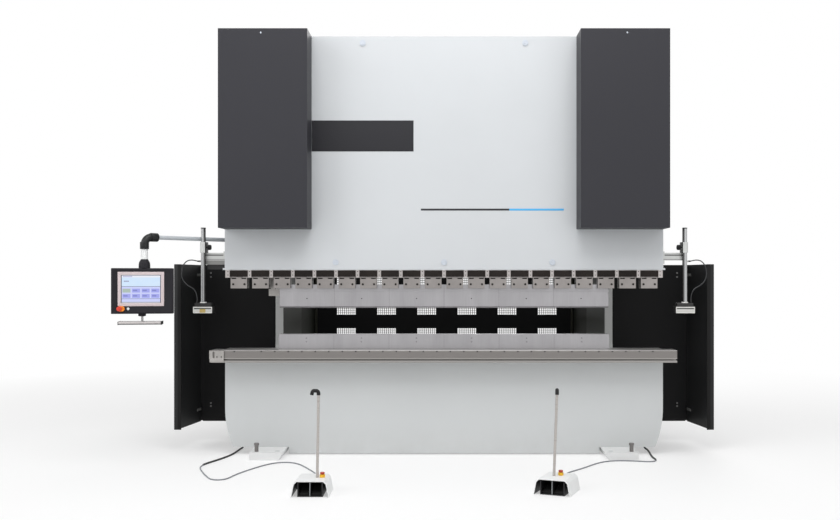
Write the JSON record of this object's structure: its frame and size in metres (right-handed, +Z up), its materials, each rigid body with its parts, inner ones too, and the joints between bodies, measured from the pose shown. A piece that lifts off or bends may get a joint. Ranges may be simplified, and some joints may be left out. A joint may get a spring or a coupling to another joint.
{
  "type": "hydraulic press brake",
  "caption": "Hydraulic press brake with a sliding ram, segmented tooling, T-slot table rail, safety light posts, swing-arm console, side doors and foot pedals.",
  "frame": {"origin": "on the floor at the centre of the four anchor holes, on the machine's centre plane", "axes": "+X to the operator's right along the bending line, +Y to the rear, +Z up"},
  "size_m": [5.4984, 4.835, 3.87],
  "materials": {
    "white_paint": "semi-gloss powder coat",
    "bare_steel": "ground steel",
    "tool_steel": "fine ground tool steel",
    "dark_cover_paint": "satin anthracite powder coat",
    "black_sheet_paint": "fine-textured black powder coat",
    "black_oxide_steel": "oiled black oxide",
    "machine_grey_paint": "grey machine enamel",
    "chrome_bar": "hard chrome",
    "light_aluminium": "anodised aluminium",
    "arm_grey_paint": "satin grey paint",
    "black_plastic": "moulded black plastic",
    "console_grey_paint": "dark grey powder coat",
    "bezel_plastic": "cream moulded plastic",
    "screen_glass": "lit display behind a clear pane",
    "red_plastic": "red moulded plastic",
    "black_rubber": "ribbed black rubber",
    "cable_sheath": "grey and black sheath"
  },
  "bodies": {
    "frame": {"side_frame_left": "white_paint", "side_frame_right": "white_paint", "bed_front_plate": "white_paint", "feet": "white_paint", "levelling_bolts": "bare_steel", "table": "bare_steel", "table_rail": "bare_steel", "table_end_bracket": "bare_steel", "dies": "tool_steel", "cylinders": "machine_grey_paint", "cylinder_covers": "dark_cover_paint", "cover_hooks": "machine_grey_paint", "ram_guides": "bare_steel", "tie_beams": "machine_grey_paint", "oil_tank": "machine_grey_paint", "pump_motor": "machine_grey_paint", "electrical_cabinet": "machine_grey_paint", "rear_wings": "black_sheet_paint", "rear_guard": "black_sheet_paint", "rear_guard_feet": "black_sheet_paint", "side_guards": "black_sheet_paint", "side_guard_hinges": "black_sheet_paint", "scale_bracket": "bare_steel", "cable_outlets": "black_plastic", "console_bracket": "white_paint", "pedal_hoods": "white_paint", "pedal_bodies": "black_plastic", "pedal_treadles": "black_rubber", "pedal_rods": "chrome_bar", "pedal_grips": "black_plastic", "pedal_stops": "red_plastic", "floor_cable_left": "cable_sheath", "floor_cable_right": "cable_sheath"},
    "ram": {"ram_plate": "white_paint", "ram_edge": "bare_steel", "adjuster_blocks": "black_oxide_steel", "punch_holders": "bare_steel", "clamp_plates": "bare_steel", "punches": "tool_steel", "screw_caps": "machine_grey_paint", "piston_rods": "chrome_bar", "laser_arms": "light_aluminium", "laser_collars": "light_aluminium"},
    "laser_left": {"laser_post_left": "chrome_bar", "laser_sensor_left": "light_aluminium", "laser_cable_left": "cable_sheath"},
    "laser_right": {"laser_post_right": "chrome_bar", "laser_sensor_right": "light_aluminium", "laser_cable_right": "cable_sheath"},
    "console_arm": {"console_arm": "arm_grey_paint", "console_elbow": "black_plastic", "console_drop_tube": "white_paint"},
    "console": {"console_panel": "console_grey_paint", "console_bezel": "bezel_plastic", "console_screen": "screen_glass", "console_buttons": "red_plastic", "console_tray": "light_aluminium"},
    "door_left": {"side_door_left": "black_sheet_paint"},
    "door_right": {"side_door_right": "black_sheet_paint"}
  },
  "joints": [
    {"name": "ram_stroke", "type": "slide", "parent": "frame", "child": "ram", "axis": [0, 0, -1], "range_m": [0, 0.265]},
    {"name": "laser_left_height", "type": "slide", "parent": "ram", "child": "laser_left", "axis": [0, 0, 1], "range_m": [-0.1, 0.3], "deforming": ["laser_cable_left"]},
    {"name": "laser_right_height", "type": "slide", "parent": "ram", "child": "laser_right", "axis": [0, 0, 1], "range_m": [-0.1, 0.3], "deforming": ["laser_cable_right"]},
    {"name": "console_arm_swing", "type": "hinge", "parent": "frame", "child": "console_arm", "pos_m": [-1.73, -0.249, 1.996], "axis": [0, 0, 1], "range_deg": [-35, 0]},
    {"name": "console_swivel", "type": "hinge", "parent": "console_arm", "child": "console", "pos_m": [-2.65217, -1.30238, 1.76], "axis": [0, 0, 1], "range_deg": [-40, 40]},
    {"name": "side_door_left_hinge", "type": "hinge", "parent": "frame", "child": "door_left", "pos_m": [-2.44, -0.142, 1], "axis": [0, 0, -1], "range_deg": [0, 90]},
    {"name": "side_door_right_hinge", "type": "hinge", "parent": "frame", "child": "door_right", "pos_m": [2.44, -0.142, 1], "axis": [0, 0, 1], "range_deg": [0, 90]}
  ]
}
